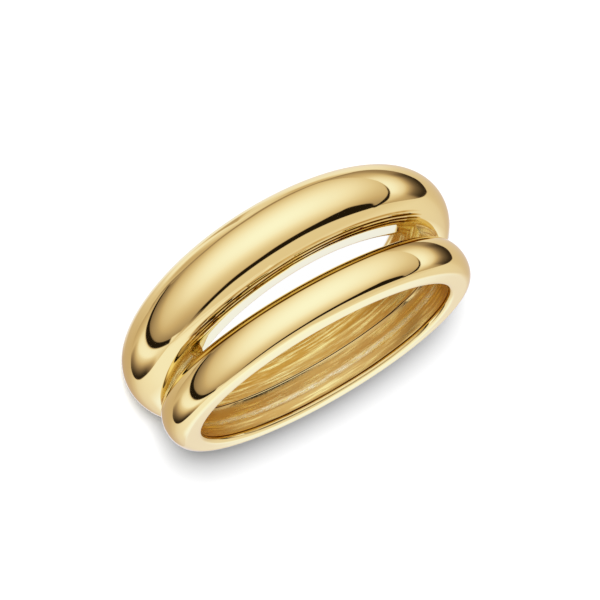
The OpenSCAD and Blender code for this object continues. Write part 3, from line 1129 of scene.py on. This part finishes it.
def studio_world(studio):
    """White to the floor and the camera, and to the gold the soft lights and cards that it reflects."""
    world = bpy.data.worlds.new("studio")
    world.use_nodes = True
    world.cycles.sampling_method = "NONE"
    nodes = Nodes(world.node_tree)
    way = nodes.add("ShaderNodeTexCoord").outputs["Generated"]
    parts = nodes.add("ShaderNodeSeparateXYZ", {0: way}).outputs
    turn = nodes.math("ARCTAN2", parts[0], nodes.math("MULTIPLY", parts[1], -1))
    turn = nodes.math("DEGREES", turn)
    height = nodes.math("DEGREES", nodes.math("ARCSINE", parts[2]))
    share = nodes.math("DIVIDE", studio_glow(nodes, turn, height), GLOW_RANGE)
    ramp = nodes.add("ShaderNodeValToRGB", {0: share})
    stops = ramp.color_ramp.elements
    while len(stops) < len(GLOW_COLORS):
        stops.new(0.5)
    for stop, (glow, color) in zip(stops, GLOW_COLORS, strict=True):
        stop.position = glow / GLOW_RANGE
        stop.color = (*(c / RAMP_DIMMED for c in color), 1)
    seen = nodes.add("ShaderNodeBackground", {"Color": ramp.outputs[0], "Strength": RAMP_DIMMED})
    path = nodes.add("ShaderNodeLightPath")
    strength = nodes.blend(path.outputs["Is Camera Ray"], studio.fill_strength / FLOOR_WHITE, 1.0)
    plain = nodes.add("ShaderNodeBackground", {"Color": (1, 1, 1, 1), "Strength": strength})
    either = nodes.add("ShaderNodeMixShader", {
        0: path.outputs["Is Glossy Ray"], 1: plain.outputs[0], 2: seen.outputs[0],
    })
    nodes.add("ShaderNodeOutputWorld", {"Surface": either.outputs[0]})
    bpy.context.scene.world = world


FLOOR_WHITE = 0.9
FLOOR_HALF = 5
# Radii over which the floor's painted glow inside the ring fades out
FLOOR_GLOW_REACH = (8.7 * MM, 9.1 * MM)


def add_light(studio):
    """A low light from beside the camera, which lays the ring's shadow on the floor behind it."""
    a, e = studio.key_azimuth, studio.key_elevation
    towards = Vector((math.cos(e) * math.sin(a), math.cos(e) * math.cos(a), -math.sin(e)))
    data = bpy.data.lights.new("key_light", "SUN")
    data.energy = studio.key_strength * math.pi / (FLOOR_WHITE * math.sin(e))
    data.angle = studio.key_softness
    light = piece("key_light", data)
    light.matrix_world = towards.to_track_quat("-Z", "Y").to_matrix().to_4x4()
    light.visible_glossy = False


def add_floor():
    """The pale floor, with a painted glow inside the ring for light falling through the finger hole. The
    gold reflects the studio in its place.
    """
    mesh = bpy.data.meshes.new("floor")
    corners = [(x * FLOOR_HALF, y * FLOOR_HALF, 0) for x, y in ((-1, -1), (1, -1), (1, 1), (-1, 1))]
    mesh.from_pydata(corners, [], [(0, 1, 2, 3)])
    floor = piece("floor", mesh)
    floor.visible_glossy = False
    material = bpy.data.materials.new("floor")
    material.use_nodes = True
    nodes = Nodes(material.node_tree)
    plain = nodes.add("ShaderNodeBsdfDiffuse", {"Color": (FLOOR_WHITE, FLOOR_WHITE, FLOOR_WHITE, 1)})
    # Painted light: the floor glows inside the ring, with no lamp lighting it there
    lit = nodes.add("ShaderNodeEmission", {"Color": (1, 1, 1, 1), "Strength": 1.0})
    place = nodes.add("ShaderNodeTexCoord").outputs["Object"]
    inside = nodes.remap(nodes.length(place), FLOOR_GLOW_REACH[1], FLOOR_GLOW_REACH[0])
    shader = nodes.add("ShaderNodeMixShader", {0: inside, 1: plain.outputs[0], 2: lit.outputs[0]})
    nodes.add("ShaderNodeOutputMaterial", {"Surface": shader.outputs[0]})
    mesh.materials.append(material)


class RING_OT_stage(Operator):
    """Lays the floor and sets the camera and the light"""

    bl_idname = "ring.stage"
    bl_label = "Build Stage"

    def execute(self, context):
        sizes, studio = context.scene.ring_sizes, context.scene.ring_studio
        add_camera(studio, sizes)
        add_floor()
        studio_world(studio)
        add_light(studio)
        context.scene.view_settings.view_transform = "Standard"
        return {"FINISHED"}


class RING_PT_panel(Panel):
    """Shows the buttons that build the casting and the stage"""

    bl_idname = "RING_PT_panel"
    bl_label = "Split Dome Ring"
    bl_space_type = "VIEW_3D"
    bl_region_type = "UI"
    bl_category = "Ring"

    def draw(self, context):
        for operator in (RING_OT_casting, RING_OT_stage):
            self.layout.operator(operator.bl_idname)


CLASSES = (RingSizes, RingFinish, RingStudio, RING_OT_casting, RING_OT_stage, RING_PT_panel)


def register():
    for item in CLASSES:
        bpy.utils.register_class(item)
    bpy.types.Scene.ring_sizes = PointerProperty(type=RingSizes)
    bpy.types.Scene.ring_finish = PointerProperty(type=RingFinish)
    bpy.types.Scene.ring_studio = PointerProperty(type=RingStudio)


def unregister():
    del bpy.types.Scene.ring_studio
    del bpy.types.Scene.ring_finish
    del bpy.types.Scene.ring_sizes
    for item in reversed(CLASSES):
        bpy.utils.unregister_class(item)


def main():
    """Builds the ring and its studio."""
    register()
    bpy.ops.ring.casting()
    bpy.ops.ring.stage()
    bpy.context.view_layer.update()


if __name__ == "__main__":
    main()
